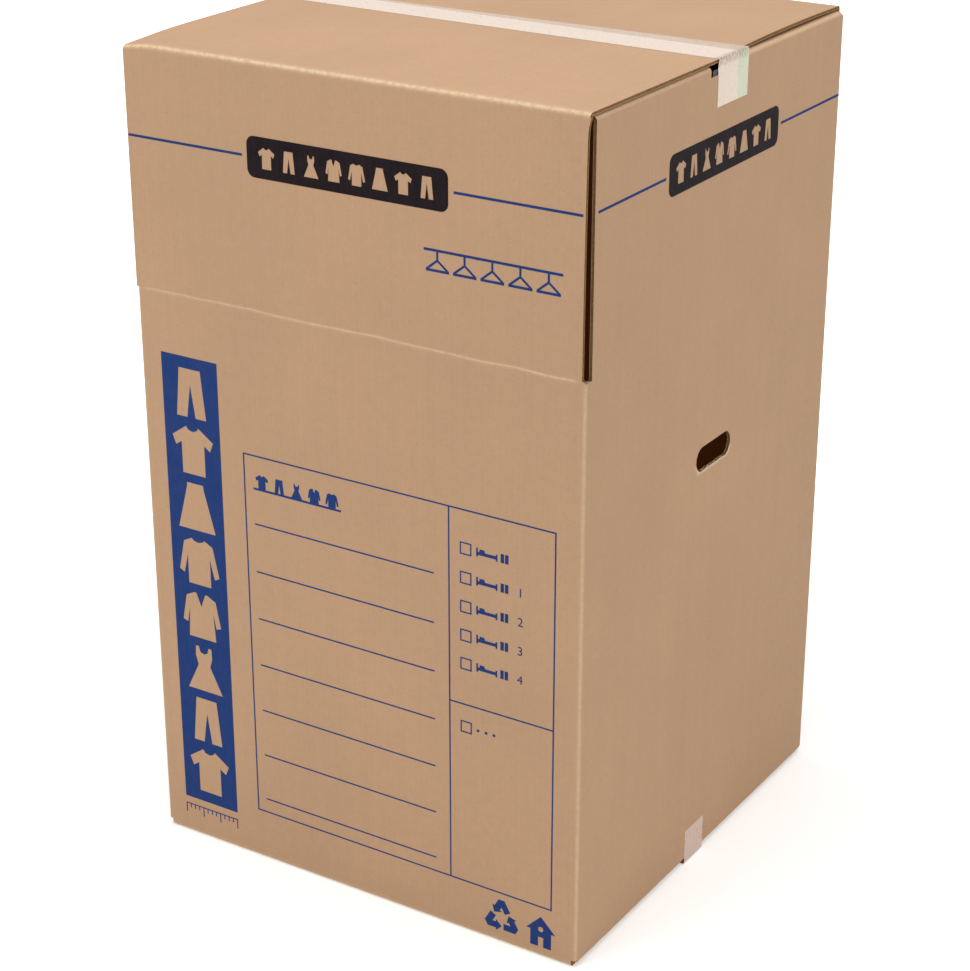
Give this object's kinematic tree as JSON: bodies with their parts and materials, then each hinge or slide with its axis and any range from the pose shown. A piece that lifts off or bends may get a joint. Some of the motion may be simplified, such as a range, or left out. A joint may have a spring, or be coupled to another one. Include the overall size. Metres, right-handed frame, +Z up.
{
  "type": "wardrobe moving box",
  "caption": "Tall folded corrugated carton, taped shut over a steel hanger bar, with a scored drop-front panel, hand holes and plain printed fields.",
  "frame": {"origin": "centre of the footprint, on the plane the box stands on", "axes": "+Z up through the top flaps, -Y out of the printed front with the drop panel, +X to its right"},
  "size_m": [0.6184, 0.618, 1.0351],
  "materials": {
    "board": "matte",
    "steel": "satin",
    "tape": "gloss",
    "blue_ink": "matte",
    "dark_ink": "matte"
  },
  "bodies": {
    "root": {"carton": "board", "hanger_bar": "steel", "top_tape_lower": "tape", "top_tape_upper": "tape", "bottom_tape": "tape", "front_plaque": "dark_ink", "right_plaque": "dark_ink", "back_plaque": "dark_ink", "left_plaque": "dark_ink", "front_stripe_left": "blue_ink", "front_stripe_right": "blue_ink", "right_stripe": "blue_ink", "corner_stripe": "blue_ink", "back_stripe": "blue_ink", "left_stripe_back": "blue_ink", "left_stripe_front": "blue_ink", "drop_panel_mark": "blue_ink", "front_band": "blue_ink", "size_scale": "blue_ink", "form_frame": "blue_ink", "form_heading": "blue_ink", "form_line_1": "blue_ink", "form_line_2": "blue_ink", "form_line_3": "blue_ink", "form_line_4": "blue_ink", "form_line_5": "blue_ink", "form_line_6": "blue_ink", "form_line_7": "blue_ink", "check_box_1": "blue_ink", "check_box_2": "blue_ink", "check_box_3": "blue_ink", "check_box_4": "blue_ink", "check_box_5": "blue_ink", "check_box_6": "blue_ink"}
  },
  "joints": []
}
